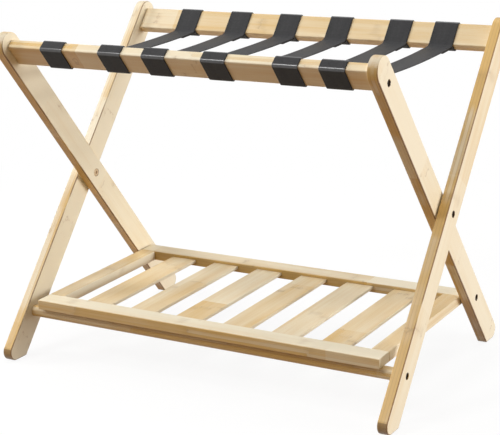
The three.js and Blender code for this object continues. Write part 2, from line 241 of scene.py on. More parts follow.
def bamboo_finish(
    name, tone, edge_depth=0.0, band_depth=0.0, foot_depth=0.0, end_grain_and_toe_shade_share=0.4, arris_share=0.0
):
    """Laminated bamboo: strips and layers that differ in tone, nodes, fine fibres along the grain, glue
    lines, darker end grain, darkest on the toe, where it is partly painted shade, and bores darkened
    as painted shade. Tone is that of the broad faces, 0 for deep and 1 for pale. The depths take it
    down on the edges: all along, in bands, and towards the foot. The shares say how far the end grain
    and the toe's painted shade show, and the dark line along the front right arris."""
    finish = Finish(name)
    seed = finish.attribute("board")
    place = finish.attribute("grain", "Vector")
    shifts = {axis: seed * reach for axis, reach in enumerate(BOARD_SHIFT)}
    shift = finish.add("ShaderNodeCombineXYZ", inputs=shifts)
    grain = finish.add("ShaderNodeVectorMath", {"operation": "ADD"}, {0: place, 1: shift})
    along, across, depth = finish.split(place)
    end, edge, broad = finish.split(finish.attribute("facing", "Vector"))

    strip = (across / STRIP_WIDTH + 0.5).maths("FLOOR")
    layers = depth / LAYER_DEPTH + 0.5
    layer = layers.maths("FLOOR")
    strip_tone = finish.chance(strip, layer, seed)
    run = along / INTERNODE + strip_tone * NODE_STAGGER + seed * BOARD_STAGGER
    stretch = run.maths("FLOOR")
    board_stretch = (along / INTERNODE + seed * BOARD_STAGGER).maths("FLOOR")
    board_tone = finish.chance(board_stretch, seed, BOARD_DRAW)
    stretch_tone = finish.chance(strip + layer * STRIPS_A_LAYER, stretch, seed)
    cloud = finish.noise(grain, CLOUD_GRAIN)
    fibre = finish.noise(grain, FIBRE_GRAIN, 3.0)
    streak = finish.noise(grain, STREAK_GRAIN, 1.0)
    band = finish.ramp(finish.noise(grain, BAND_GRAIN), 0.4, 0.6)

    tone = tone + swing(strip_tone, STRIP_SWING + STRIP_SWING_ON_EDGE * edge)
    tone = tone + swing(cloud, CLOUD_SWING) + swing(fibre, FIBRE_SWING)
    tone = tone + swing(streak, STREAK_SWING) + swing(board_tone, BOARD_SWING)
    tone = tone + swing(stretch_tone, STRETCH_SWING + STRETCH_SWING_ON_EDGE * edge)
    foot = finish.ramp(along, FOOT_STARTS, FOOT_FULL)
    tone = tone - edge * (edge_depth + band_depth * band + foot_depth * foot)
    colour = finish.mix(finish.ramp(tone, 0.0, 1.0), BAMBOO_DEEP, BAMBOO_PALE)

    wander = swing(finish.noise(grain, WANDER_GRAIN), NODE_WANDER)
    to_node = (run.maths("PINGPONG", 0.5) * INTERNODE + wander).maths("ABSOLUTE")
    mark = (1 - finish.ramp(to_node, NODE_CORE, NODE_LINE)) * finish.ramp(stretch_tone, 0.3, 0.9)
    halo = (1 - finish.ramp(to_node, 0.0, NODE_HALO)) * finish.ramp(strip_tone, 0.2, 0.8)
    colour = finish.mix(mark * NODE_LINE_SHARE + halo * NODE_HALO_SHARE, colour, BAMBOO_NODE)

    to_glue = layers.maths("PINGPONG", 0.5) * LAYER_DEPTH
    glue = (1 - finish.ramp(to_glue, GLUE_CORE, GLUE_LINE)) * finish.ramp(edge, 0.6, 0.9)
    colour = finish.mix(glue * ((edge_depth + band_depth) * GLUE_SHARE), colour, BAMBOO_GLUE)
    pores = finish.noise(grain, PORE_GRAIN, 1.0)
    # The toe by the foot takes the full end grain colour: partly its end grain, partly painted shade where it
    # faces down and away from the lamps.
    toe_end_and_shade = finish.ramp(end, 0.05, 0.22) * finish.ramp(along, SAWN_FOOT, SAWN_FOOT - SAWN_FADE)
    end_grain_and_toe_shade = (finish.ramp(end, 0.2, 0.75) * END_GRAIN_SHARE).maths("MAXIMUM", toe_end_and_shade) * end_grain_and_toe_shade_share
    colour = finish.mix(end_grain_and_toe_shade * (0.55 + 0.45 * pores), colour, BAMBOO_END_GRAIN_AND_SHADE)
    front_right = finish.ramp(depth, 0.0, ARRIS_REACH) * finish.ramp(across, 0.0, ARRIS_REACH)
    broken = finish.ramp(finish.noise(grain, BREAK_GRAIN), 0.33, 0.45)
    line = finish.ramp(edge * broad, 0.12, 0.3) * front_right * broken
    colour = finish.mix(line * arris_share, colour, BAMBOO_GLUE)
    # Painted shade: the walls of the bores are darkened nearly to black, as the shade in them would be.
    colour = finish.mix(finish.attribute("bore") * BORE_SHADE_SHARE, colour, BAMBOO_BORE_SHADE)

    relief = fibre * 0.7 + mark * 0.6
    finish.surface({
        "Base Color": colour,
        "Roughness": 0.40 + 0.16 * fibre,
        "Normal": finish.bump(relief, depth=0.0002, strength=0.35),
        "Coat Weight": 0.12,
        "Coat Roughness": 0.3,
    })
    return finish.material


def plain_mesh(solid):
    """A mesh from a bmesh solid, which is freed."""
    bmesh.ops.recalc_face_normals(solid, faces=solid.faces)
    mesh = bpy.data.meshes.new("work")
    solid.to_mesh(mesh)
    solid.free()
    return mesh


def turned(profile, place=Matrix()):
    """A closed solid turned about local Z. A ring of the profile is its radius, its height and, for
    a section with flat sides, how many."""
    solid = bmesh.new()
    rings = []
    for radius, height, *flats in profile:
        ring = []
        for step in range(ARC_STEPS):
            angle = 2 * math.pi * step / ARC_STEPS
            reach = radius
            if flats:
                half = math.pi / flats[0]
                reach = radius * math.cos(half) / math.cos(angle % (2 * half) - half)
            ring.append(solid.verts.new((reach * math.cos(angle), reach * math.sin(angle), height)))
        rings.append(ring)
    for lower, upper in zip(rings, rings[1:]):
        for step in range(ARC_STEPS):
            solid.faces.new((lower[step - 1], lower[step], upper[step], upper[step - 1]))
    solid.faces.new(rings[0])
    solid.faces.new(rings[-1])
    mesh = plain_mesh(solid)
    mesh.transform(place)
    return mesh


def prism(outline, low, high):
    """A bmesh solid of an outline in local XY between two heights."""
    solid = bmesh.new()
    bottom = [solid.verts.new((x, y, low)) for x, y in outline]
    top = [solid.verts.new((x, y, high)) for x, y in outline]
    solid.faces.new(bottom)
    solid.faces.new(top)
    for index in range(len(outline)):
        solid.faces.new((bottom[index - 1], bottom[index], top[index], top[index - 1]))
    bmesh.ops.recalc_face_normals(solid, faces=solid.faces)
    return solid


def rectangle(x0, x1, y0, y1):
    """The outline between two places along each of local X and Y."""
    return [(x0, y0), (x1, y0), (x1, y1), (x0, y1)]


def shown(name, data):
    """A scene object at the origin that holds a mesh, a lamp or a camera."""
    thing = bpy.data.objects.new(name, data)
    bpy.context.scene.collection.objects.link(thing)
    return thing


def taken_from(thing):
    """The plain mesh that an object's modifiers make. The object is removed."""
    graph = bpy.context.evaluated_depsgraph_get()
    source = thing.evaluated_get(graph)
    mesh = bpy.data.meshes.new_from_object(source, preserve_all_data_layers=True, depsgraph=graph)
    bpy.data.objects.remove(thing)
    return mesh


def smoothed(mesh):
    """The mesh with smooth curves, crisp corners and flat faces that stay flat."""
    mesh.shade_smooth()
    mesh.set_sharp_from_angle(angle=SHARP_CORNER)
    work = shown("work", mesh)
    work.modifiers.new("Normals", "WEIGHTED_NORMAL").keep_sharp = True
    return taken_from(work)


def round_over(solid, edges, radius, steps):
    """Rounds the given edges of a bmesh solid."""
    bmesh.ops.bevel(solid, geom=edges, offset=radius, segments=steps, profile=0.5, affect="EDGES")


def board_mesh(outline, thickness, ease, cutters=(), rounding=0.0):
    """A board with its grain along local X and its edges eased, less what the cutters take out. Its
    long edges are first rounded where a radius is given."""
    solid = prism(outline, -thickness / 2, thickness / 2)
    if rounding:
        long_edges = [edge for edge in solid.edges if edge.verts[0].co.x != edge.verts[1].co.x]
        round_over(solid, long_edges, rounding, ROUNDING_STEPS)
    corners = [edge for edge in solid.edges if edge.calc_face_angle() > SHARP_CORNER]
    round_over(solid, corners, ease, EASE_STEPS)
    skin = BVHTree.FromBMesh(solid)
    mesh = plain_mesh(solid)
    if cutters:
        joined = bmesh.new()
        for cutter in cutters:
            joined.from_mesh(cutter)
        tool = shown("tool", plain_mesh(joined))
        board = shown("work", mesh)
        cut = board.modifiers.new("Cut", "BOOLEAN")
        cut.operation = "DIFFERENCE"
        cut.solver = "EXACT"
        cut.object = tool
        mesh = taken_from(board)
        bpy.data.objects.remove(tool)
    mesh = smoothed(mesh)
    grain = mesh.attributes.new("grain", "FLOAT_VECTOR", "POINT")
    grain.data.foreach_set("vector", [number for vertex in mesh.vertices for number in vertex.co])
    facing = mesh.attributes.new("facing", "FLOAT_VECTOR", "FACE")
    facing.data.foreach_set("vector", [abs(number) for face in mesh.polygons for number in face.normal])
    bore = mesh.attributes.new("bore", "FLOAT", "FACE")
    depths = [skin.find_nearest(face.center)[3] for face in mesh.polygons]
    bore.data.foreach_set("value", [float(depth > CLEARANCE) for depth in depths])
    return mesh


boards_made = []


def add_board(name, mesh, place, finish, slot, body, *nodes):
    """A wooden piece in its place in the rack, with its own number for the run of its grain."""
    boards_made.append(name)
    number = mesh.attributes.new("board", "FLOAT", "POINT")
    number.data.foreach_set("value", [len(boards_made)] * len(mesh.vertices))
    mesh.transform(place)
    mesh.materials.clear()
    mesh.materials.append(finish)
    board = shown(name, mesh)
    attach(board, body)
    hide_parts(*nodes)


def leg_outline(toe):
    """Round top, level foot and rounded toe. Toe is 1 where it points to the front."""

    def to_floor(y):
        return -(pivot_height + y * math.sin(LEG_LEAN)) / math.cos(LEG_LEAN)

    half = LEG_WIDTH / 2
    tangent = FOOT_ROUND / math.tan(math.pi / 4 - LEG_LEAN / 2)
    flat_end = half - tangent * math.cos(LEG_LEAN)
    outline = [(to_floor(-half), -half), (to_floor(flat_end), flat_end)]
    toe_start = -math.pi / 2 - LEG_LEAN
    for step in range(1, ARC_STEPS // 2 + 1):
        angle = toe_start * (1 - 2 * step / ARC_STEPS)
        height = to_floor(half) + tangent + FOOT_ROUND * math.sin(angle)
        outline.append((height, half - FOOT_ROUND + FOOT_ROUND * math.cos(angle)))
    for step in range(ARC_STEPS + 1):
        angle = math.pi * step / ARC_STEPS
        outline.append((PIVOT_TO_ROUND_END + half * math.sin(angle), half * math.cos(angle)))
    return [(x, toe * y) for x, y in outline]


def frame_place(lean, x):
    """From a board's own axes to the rack: local X up the legs, local Y to the front, local Z along
    +X. Lean is 1 for the frame whose top leans forward and -1 for the other."""
    sine = math.sin(LEG_LEAN)
    cosine = math.cos(LEG_LEAN)
    return Matrix((
        (0, 0, 1, x),
        (-lean * sine, -cosine, 0, 0),
        (cosine, -lean * sine, 0, pivot_height),
        (0, 0, 0, 1),
    ))


def into_face(along, side, thickness):
    """Place of a bore that starts at a board's face on the given side. Its own +Z points out."""
    turn = Matrix() if side > 0 else Matrix.Rotation(math.pi, 4, "X")
    return Matrix.Translation((along, 0, side * thickness / 2)) @ turn


def counterbore(through):
    """Profile of a bolt's hole: a small chamfer, room for the head, and the shank's way through."""
    head = BOLT_HEAD_RADIUS + CLEARANCE
    shank = BOLT_RADIUS + CLEARANCE
    floor = -BOLT_HEAD_RECESS - BOLT_HEAD_HEIGHT
    mouth = BORE_CHAMFER + OVERRUN
    return [
        (head + mouth, OVERRUN),
        (head, -BORE_CHAMFER),
        (head, floor),
        (shank, floor),
        (shank, -through),
    ]


def plain_bore(radius, depth):
    """Profile of a blind hole with room round what goes in it."""
    return [(radius + CLEARANCE, OVERRUN), (radius + CLEARANCE, -depth - CLEARANCE)]


# The left leg is paler, partly as painted light; the right leg's edges are deeper, partly as painted shade of the
# straps' shadows.
outer_leg_finishes = {
    "left": bamboo_finish(
        "pale_leg_bamboo",
        tone=1.08,
        edge_depth=0.1,
        band_depth=0.34,
        foot_depth=0.62,
        end_grain_and_toe_shade_share=1.0,
        arris_share=0.8,
    ),
    "right": bamboo_finish(
        "warm_leg_bamboo",
        tone=0.90,
        edge_depth=0.34,
        band_depth=0.86,
        foot_depth=0.4,
        end_grain_and_toe_shade_share=1.0,
        arris_share=0.9,
    ),
}
for name, side in sides.items():
    node = "outer_leg_" + name
    low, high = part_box(node)
    thickness = high.x - low.x
    bolt_bore = counterbore(thickness + OVERRUN)
    bores = [
        turned(bolt_bore, into_face(PIVOT_TO_RAIL_BOLT, side, thickness)),
        turned(bolt_bore, into_face(0, side, thickness)),
        turned(bolt_bore, into_face(-PIVOT_TO_BAR, side, thickness)),
        turned(plain_bore(DOWEL_RADIUS, DOWEL_IN_LEG), into_face(PIVOT_TO_RAIL_DOWEL, -side, thickness)),
    ]
    leg = board_mesh(leg_outline(toe=1), thickness, LEG_EASE, bores)
    place = frame_place(lean=-1, x=(low.x + high.x) / 2)
    finish = outer_leg_finishes[name]
    add_board(node + "_wood", leg, place, finish, "frame_bamboo", "outer_frame", node)

# Inner legs: the same boards turned the other way, lying just inside the outer pair.
# Each is bored for the sleeve nut of the main pivot, and counterbored for the bolts that hold
# the front rail and the shelf's hinge.
PIVOT_TO_SHELF = 0.226
SLEEVE_RADIUS = 0.0047
SLEEVE_FLANGE_RADIUS = 0.0065
SLEEVE_FLANGE_THICKNESS = 0.0015

leg_bamboo = bamboo_finish(
    "leg_bamboo", tone=0.92, edge_depth=0.3, band_depth=0.9, end_grain_and_toe_shade_share=1.0, arris_share=0.9
)
for name, side in sides.items():
    node = "inner_leg_" + name
    low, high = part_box(node)
    thickness = high.x - low.x
    bolt_bore = counterbore(thickness + OVERRUN)
    flange = SLEEVE_FLANGE_RADIUS + CLEARANCE
    barrel = SLEEVE_RADIUS + CLEARANCE
    seat = -SLEEVE_FLANGE_THICKNESS
    sleeve_bore = [(flange, OVERRUN), (flange, seat), (barrel, seat), (barrel, -thickness - OVERRUN)]
    bores = [
        turned(bolt_bore, into_face(PIVOT_TO_RAIL_BOLT, side, thickness)),
        turned(bolt_bore, into_face(-PIVOT_TO_SHELF, side, thickness)),
        turned(sleeve_bore, into_face(0, -side, thickness)),
        turned(plain_bore(DOWEL_RADIUS, DOWEL_IN_LEG), into_face(PIVOT_TO_RAIL_DOWEL, -side, thickness)),
    ]
    leg = board_mesh(leg_outline(toe=-1), thickness, LEG_EASE, bores)
    place = frame_place(lean=1, x=(low.x + high.x) / 2)
    add_board(node + "_wood", leg, place, leg_bamboo, "frame_bamboo", "inner_frame", node)

# Top rails: one flat bamboo rail between the tops of each pair of legs, set along the legs.
# Each end is bored for a bolt and for a wooden dowel that keeps the rail from turning.
RAIL_WIDTH = 0.040
RAIL_THICKNESS = 0.016
RAIL_EASE = 0.0022
PIVOT_TO_RAIL = 0.301
BOLT_GRIP = 0.028
DOWEL_IN_RAIL = 0.022


def into_end(x, side, y=0.0):
    """Place of a bore that starts at a board's end on the given side. Its own +Z points out."""
    return Matrix.Translation((side * x, y, 0)) @ Matrix.Rotation(side * math.pi / 2, 4, "Y")


def rail_place(lean):
    """Local X along +X, local Y up the legs and local Z square to them."""
    upright = frame_place(lean, 0) @ Matrix.Translation((PIVOT_TO_RAIL, 0, 0))
    return upright @ Matrix(((0, 1, 0, 0), (0, 0, 1, 0), (1, 0, 0, 0), (0, 0, 0, 1)))


rail_bamboo = bamboo_finish("rail_bamboo", tone=0.58)
for node, lean, body in (("front_rail", 1, "inner_frame"), ("back_rail", -1, "outer_frame")):
    low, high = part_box(node)
    bores = []
    for side in sides.values():
        bolt_place = into_end(high.x, side, PIVOT_TO_RAIL_BOLT - PIVOT_TO_RAIL)
        dowel_place = into_end(high.x, side, PIVOT_TO_RAIL_DOWEL - PIVOT_TO_RAIL)
        bores.append(turned(plain_bore(BOLT_RADIUS, BOLT_GRIP), bolt_place))
        bores.append(turned(plain_bore(DOWEL_RADIUS, DOWEL_IN_RAIL), dowel_place))
    outline = rectangle(low.x, high.x, -RAIL_WIDTH / 2, RAIL_WIDTH / 2)
    rail = board_mesh(outline, RAIL_THICKNESS, RAIL_EASE, bores)
    add_board(node + "_wood", rail, rail_place(lean), rail_bamboo, "frame_bamboo", body, node)

# Lower bar: a bamboo stick between the outer legs near the floor, which carries the front of the
# shelf. Its long edges are well rounded, and a bolt through each leg holds it.
BAR_ROUND = 0.007
BAR_END_EASE = 0.0008

low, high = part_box("lower_bar")
bores = [turned(plain_bore(BOLT_RADIUS, BOLT_GRIP), into_end(high.x, side)) for side in sides.values()]
bar_half = (high.y - low.y) / 2
bar_outline = rectangle(low.x, high.x, -bar_half, bar_half)
bar = board_mesh(bar_outline, high.z - low.z, BAR_END_EASE, bores, BAR_ROUND)
bar_place = Matrix.Translation((0, (low.y + high.y) / 2, (low.z + high.z) / 2))
# The bar's deep tone is partly its own and partly painted shade from the shelf's front board above it.
bar_bamboo = bamboo_finish("bar_bamboo", tone=0.32)
add_board("lower_bar_wood", bar, bar_place, bar_bamboo, "frame_bamboo", "outer_frame", "lower_bar")

# Shelf frame: two boards across the rack and two side boards tenoned between them.
# The back board is bored for the hinge bolts, and both boards across are housed for the slats.
BOARD_DEPTH = 0.034
BOARD_THICKNESS = 0.016
BOARD_EASE = 0.0014
SIDE_BOARD_WIDTH = 0.029
SHELF_DEPTH = 0.332
SHELF_PIVOT_INSET = 0.009
TENON_LENGTH = 0.012
TENON_THICKNESS = 0.006
TENON_SHOULDER = 0.006
SLAT_COUNT = 6
SLAT_WIDTH = 0.048
SLAT_THICKNESS = 0.005
SLAT_DROP = 0.005
SLAT_HOUSING = 0.010

mounts = {mount["name"]: mount for mount in frame["record"]["mounts"]}
shelf_normal = mounts["shelf_front_board_top"]["axis"]
shelf_tilt = math.atan2(-shelf_normal[1], shelf_normal[2])
hinge = Vector(joints["shelf_lift"]["pos_m"])
shelf_place = Matrix.Translation(hinge) @ Matrix.Rotation(shelf_tilt, 4, "X")
shelf_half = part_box("shelf_front_board")[1].x
side_inside = shelf_half - SIDE_BOARD_WIDTH
shelf_front = SHELF_PIVOT_INSET - SHELF_DEPTH
front_inside = shelf_front + BOARD_DEPTH
front_middle = shelf_front + BOARD_DEPTH / 2
back_inside = SHELF_PIVOT_INSET - BOARD_DEPTH
back_middle = SHELF_PIVOT_INSET - BOARD_DEPTH / 2
opening_middle = (front_inside + back_inside) / 2
slat_spacing = (2 * side_inside - SLAT_COUNT * SLAT_WIDTH) / (SLAT_COUNT + 1) + SLAT_WIDTH
slat_middle = BOARD_THICKNESS / 2 - SLAT_DROP - SLAT_THICKNESS / 2


def housing(x_middle, width, y_middle, length, thickness, z_middle):
    """Room for a slat's end or a tenon, a little larger than what goes in it."""
    x_reach = width / 2 + CLEARANCE
    y_reach = length + CLEARANCE
    z_reach = thickness / 2 + CLEARANCE
    outline = rectangle(x_middle - x_reach, x_middle + x_reach, y_middle - y_reach, y_middle + y_reach)
    return plain_mesh(prism(outline, z_middle - z_reach, z_middle + z_reach))


def shelf_housings(y_face):
    """Room for every slat and tenon in the inner edge of a board across the rack."""
    made = []
    for index in range(SLAT_COUNT):
        x = (index - (SLAT_COUNT - 1) / 2) * slat_spacing
        made.append(housing(x, SLAT_WIDTH, y_face, SLAT_HOUSING, SLAT_THICKNESS, slat_middle))
    for side in sides.values():
        x = side * (shelf_half - SIDE_BOARD_WIDTH / 2)
        tenon_width = SIDE_BOARD_WIDTH - 2 * TENON_SHOULDER
        made.append(housing(x, tenon_width, y_face, TENON_LENGTH, TENON_THICKNESS, 0))
    return made


def add_shelf_board(name, mesh, finish, middle, turn, node):
    """A board of the shelf, with its middle at a point in the shelf's own axes."""
    place = shelf_place @ Matrix.Translation(middle) @ turn
    add_board(name, mesh, place, finish, "shelf_bamboo", "shelf_panel", node)


shelf_bamboo = bamboo_finish("shelf_bamboo", tone=0.80, edge_depth=0.48, band_depth=0.08)
# The slats and side boards have edges paler than their tops: painted light on the sides that face the lamp.
slat_bamboo = bamboo_finish("slat_bamboo", tone=0.47, edge_depth=-0.35)
board_outline = rectangle(-shelf_half, shelf_half, -BOARD_DEPTH / 2, BOARD_DEPTH / 2)
lengthwise = Matrix()
front_cutters = shelf_housings(front_inside - front_middle)
front_board = board_mesh(board_outline, BOARD_THICKNESS, BOARD_EASE, front_cutters)
middle = (0, front_middle, 0)
add_shelf_board("shelf_front_wood", front_board, shelf_bamboo, middle, lengthwise, "shelf_front_board")

back_cutters = shelf_housings(back_inside - back_middle)
for side in sides.values():
    hinge_place = into_end(shelf_half, side, -back_middle)
    back_cutters.append(turned(plain_bore(BOLT_RADIUS, BOLT_GRIP), hinge_place))
back_board = board_mesh(board_outline, BOARD_THICKNESS, BOARD_EASE, back_cutters)
middle = (0, back_middle, 0)
add_shelf_board("shelf_back_wood", back_board, shelf_bamboo, middle, lengthwise, "shelf_back_board")

crosswise = Matrix.Rotation(math.pi / 2, 4, "Z")
side_length = back_inside - front_inside - 2 * CLEARANCE
side_half = SIDE_BOARD_WIDTH / 2
side_outline = rectangle(-side_length / 2, side_length / 2, -side_half, side_half)
for name, side in sides.items():
    side_board = board_mesh(side_outline, BOARD_THICKNESS, BOARD_EASE)
    middle = (side * (shelf_half - side_half), opening_middle, 0)
    node = "shelf_side_board_" + name
    add_shelf_board(f"shelf_side_{name}_wood", side_board, slat_bamboo, middle, crosswise, node)

# Slats: thin bamboo boards let into the front and back boards of the shelf, a little below their
# tops, with an even gap between them.
SLAT_EASE = 0.0008
FIRST_SLAT_NUMBER = 31


class GeometryTree(Nodes):
    """A Geometry Nodes tree with named inputs, which an object carries as a modifier."""

    def __init__(self, name, **sockets):
        super().__init__(bpy.data.node_groups.new(name, "GeometryNodeTree"))
        panel = self.tree.interface
        panel.new_socket("Geometry", in_out="OUTPUT", socket_type="NodeSocketGeometry")
        panel.new_socket("Geometry", in_out="INPUT", socket_type="NodeSocketGeometry")
        self.keys = {}
        for label, kind in sockets.items():
            socket = panel.new_socket(label, in_out="INPUT", socket_type="NodeSocket" + kind)
            self.keys[label] = socket.identifier
        self.source = self.tree.nodes.new("NodeGroupInput")

    def given(self, label):
        return Value(self, self.source.outputs[label])

    def piece(self, label):
        """The shape of the object that is given for an input."""
        return self.add("GeometryNodeObjectInfo", inputs={"Object": self.given(label)}, output="Geometry")

    def row(self, piece, count, spacing):
        """A row of a piece along X about the origin, from the inputs of these names."""
        number = self.given(count)
        gap = self.given(spacing)
        start = self.add("ShaderNodeCombineXYZ", inputs={"X": gap * (number - 1) * -0.5})
        step = self.add("ShaderNodeCombineXYZ", inputs={"X": gap})
        line_inputs = {"Count": number, "Start Location": start, "Offset": step}
        line = self.add("GeometryNodeMeshLine", inputs=line_inputs)
        row_inputs = {"Points": line, "Instance": self.piece(piece)}
        return self.add("GeometryNodeInstanceOnPoints", inputs=row_inputs)

    def end(self, geometry):
        """Makes the instances real, gives them their finish and hands them out."""
        real = self.add("GeometryNodeRealizeInstances", inputs={"Geometry": geometry})
        finish_inputs = {"Geometry": real, "Material": self.given("Finish")}
        finished = self.add("GeometryNodeSetMaterial", inputs=finish_inputs)
        target = self.tree.nodes.new("NodeGroupOutput")
        self.feed(target.inputs["Geometry"], finished)

    def grow(self, mesh, **values):
        """The plain mesh that the tree makes from a carrier mesh and these values."""
        carrier = shown("carrier", mesh)
        modifier = carrier.modifiers.new("Tree", "NODES")
        modifier.node_group = self.tree
        for label, value in values.items():
            modifier[self.keys[label]] = value
        return taken_from(carrier)


slat_tree = GeometryTree(
    "slat_row", Slat="Object", Count="Int", Spacing="Float", First="Int", Finish="Material"
)
slat_row = slat_tree.row("Slat", "Count", "Spacing")
slat_number = slat_tree.add("GeometryNodeInputIndex") + slat_tree.given("First")
numbered_slats = slat_tree.add(
    "GeometryNodeStoreNamedAttribute",
    {"data_type": "FLOAT", "domain": "INSTANCE"},
    {"Geometry": slat_row, "Name": "board", "Value": slat_number},
)
slat_tree.end(numbered_slats)

slat_length = back_inside - front_inside + 2 * (SLAT_HOUSING - CLEARANCE)
slat_outline = rectangle(-slat_length / 2, slat_length / 2, -SLAT_WIDTH / 2, SLAT_WIDTH / 2)
slat_mesh = board_mesh(slat_outline, SLAT_THICKNESS, SLAT_EASE)
slat_mesh.transform(Matrix.Translation((0, opening_middle, slat_middle)) @ crosswise)
slat = shown("slat_pattern", slat_mesh)
slats_mesh = slat_tree.grow(
    bpy.data.meshes.new("slats"),
    Slat=slat,
    Count=SLAT_COUNT,
    Spacing=slat_spacing,
    First=FIRST_SLAT_NUMBER,
    Finish=slat_bamboo,
)
bpy.data.objects.remove(slat)
slats_mesh.transform(shelf_place)
slats = shown("shelf_slats_wood", slats_mesh)
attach(slats, "shelf_panel")
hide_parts(*[f"shelf_slat_{index + 1}" for index in range(SLAT_COUNT)])

# Bolts and sleeve nuts: dark steel socket-head bolts, sunk below the faces of the legs.
# The main pivot's bolts turn in sleeve nuts that lie flush with the inner legs' inside faces.
SOCKET_SIDES = 6
SOCKET_RADIUS = 0.0026
SOCKET_DEPTH = 0.002
BOLT_CHAMFER = 0.0005
SLEEVE_SOCKET_DEPTH = 0.0016
SLEEVE_END_WALL = 0.003
SLEEVE_LENGTH = 0.014
TOOL_MARKS = (900, 5000, 5000)
WEAR_PATCHES = (350, 350, 350)
BOLT_METALLIC = 0.2
SLEEVE_METALLIC = 0.4
STEEL_DARK = (0.010, 0.006, 0.004, 1)
STEEL_WORN = (0.036, 0.022, 0.014, 1)
SLEEVE_DULL = (0.46, 0.31, 0.17, 1)
SLEEVE_BRIGHT = (0.74, 0.58, 0.38, 1)


def steel_finish(name, dark, worn, metal):
    """Turned steel, with fine tool marks and patches of wear."""
    finish = Finish(name)
    spot = finish.add("ShaderNodeTexCoord", output="Object")
    brushed = finish.noise(spot, TOOL_MARKS, 3.0)
    blotch = finish.noise(spot, WEAR_PATCHES)
    finish.surface({
        "Base Color": finish.mix(finish.ramp(brushed * 0.6 + blotch * 0.6, 0.4, 0.9), dark, worn),
        "Metallic": metal,
        "Roughness": 0.38 + 0.2 * blotch,
        "Normal": finish.bump(brushed, depth=0.0001, strength=0.3),
    })
    return finish.material


bolt_steel = steel_finish("bolt_steel", STEEL_DARK, STEEL_WORN, BOLT_METALLIC)
sleeve_steel = steel_finish("sleeve_steel", SLEEVE_DULL, SLEEVE_BRIGHT, SLEEVE_METALLIC)
fastener_tree = GeometryTree("fastener_row", Fastener="Object", Finish="Material")
one_fastener = fastener_tree.piece("Fastener")
turn = fastener_tree.add("GeometryNodeInputNamedAttribute", {"data_type": "FLOAT"}, {"Name": "turn"})
rotation = fastener_tree.add("ShaderNodeCombineXYZ", inputs={"Y": turn})
fastener_inputs = {
    "Points": fastener_tree.given("Geometry"),
    "Instance": one_fastener,
    "Rotation": rotation,
}
fastener_tree.end(fastener_tree.add("GeometryNodeInstanceOnPoints", inputs=fastener_inputs))


def add_fasteners(name, pattern, finish, body, nodes, facing):
    """One pattern at an end of each node. Facing is 1 for the outer end, with the pattern's own +Z
    outwards, and -1 for the inner end, with its +Z inwards."""
    points = bpy.data.meshes.new(name)
    places = []
    turns = []
    for node in nodes:
        low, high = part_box(node)
        side = math.copysign(1, low.x + high.x)
        x = high.x if side * facing > 0 else low.x
        places.append((x, (low.y + high.y) / 2, (low.z + high.z) / 2))
        turns.append(side * facing * math.pi / 2)
    points.from_pydata(places, [], [])
    points.attributes.new("turn", "FLOAT", "POINT").data.foreach_set("value", turns)
    piece = shown(name + "_pattern", smoothed(pattern))
    mesh = fastener_tree.grow(points, Fastener=piece, Finish=finish)
    bpy.data.objects.remove(piece)
    fasteners = shown(name, mesh)
    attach(fasteners, body)
    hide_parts(*nodes)


def bolt(node):
    """A socket-head bolt as long as the node, with its head's face at local Z 0."""
    low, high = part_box(node)
    tip = low.x - high.x
    under = -BOLT_HEAD_HEIGHT
    return turned([
        (BOLT_RADIUS - BOLT_CHAMFER, tip),
        (BOLT_RADIUS, tip + BOLT_CHAMFER),
        (BOLT_RADIUS, under),
        (BOLT_HEAD_RADIUS, under),
        (BOLT_HEAD_RADIUS, -BOLT_CHAMFER),
        (BOLT_HEAD_RADIUS - BOLT_CHAMFER, 0),
        (SOCKET_RADIUS, 0, SOCKET_SIDES),
        (SOCKET_RADIUS, -SOCKET_DEPTH, SOCKET_SIDES),
    ])


bolt_groups = (
    ("back_rail_bolt", "outer_frame"),
    ("lower_bar_bolt", "outer_frame"),
    ("pivot_bolt", "outer_frame"),
    ("front_rail_bolt", "inner_frame"),
    ("shelf_bolt", "inner_frame"),
)
for group, body in bolt_groups:
    nodes = [f"{group}_{name}" for name in sides]
    add_fasteners(group + "s", bolt(nodes[1]), bolt_steel, body, nodes, facing=1)

sleeve_nut = turned([
    (BOLT_RADIUS + CLEARANCE, -SLEEVE_END_WALL),
    (BOLT_RADIUS + CLEARANCE, -SLEEVE_LENGTH),
    (SLEEVE_RADIUS, -SLEEVE_LENGTH),
    (SLEEVE_RADIUS, -SLEEVE_FLANGE_THICKNESS),
    (SLEEVE_FLANGE_RADIUS, -SLEEVE_FLANGE_THICKNESS),
    (SLEEVE_FLANGE_RADIUS, -BOLT_CHAMFER),
    (SLEEVE_FLANGE_RADIUS - BOLT_CHAMFER, 0),
    (SOCKET_RADIUS, 0, SOCKET_SIDES),
    (SOCKET_RADIUS, -SLEEVE_SOCKET_DEPTH, SOCKET_SIDES),
])
sleeve_nodes = [f"pivot_sleeve_{name}" for name in sides]
add_fasteners("pivot_sleeves", sleeve_nut, sleeve_steel, "inner_frame", sleeve_nodes, facing=-1)

# Washers, spacers and dowels: nylon rings keep the legs and the shelf apart at their bolts, and
# plain wooden pegs in the rail ends hold the rails square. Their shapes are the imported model's own.
NYLON_GRAIN = (400, 400, 400)
DOWEL_GRAIN = (60, 1200, 1200)
NYLON_BODY = (0.62, 0.57, 0.48, 1)
NYLON_SCUFFED = (0.44, 0.39, 0.32, 1)
DOWEL_PALE = (0.72, 0.54, 0.33, 1)
DOWEL_DEEP = (0.50, 0.33, 0.17, 1)


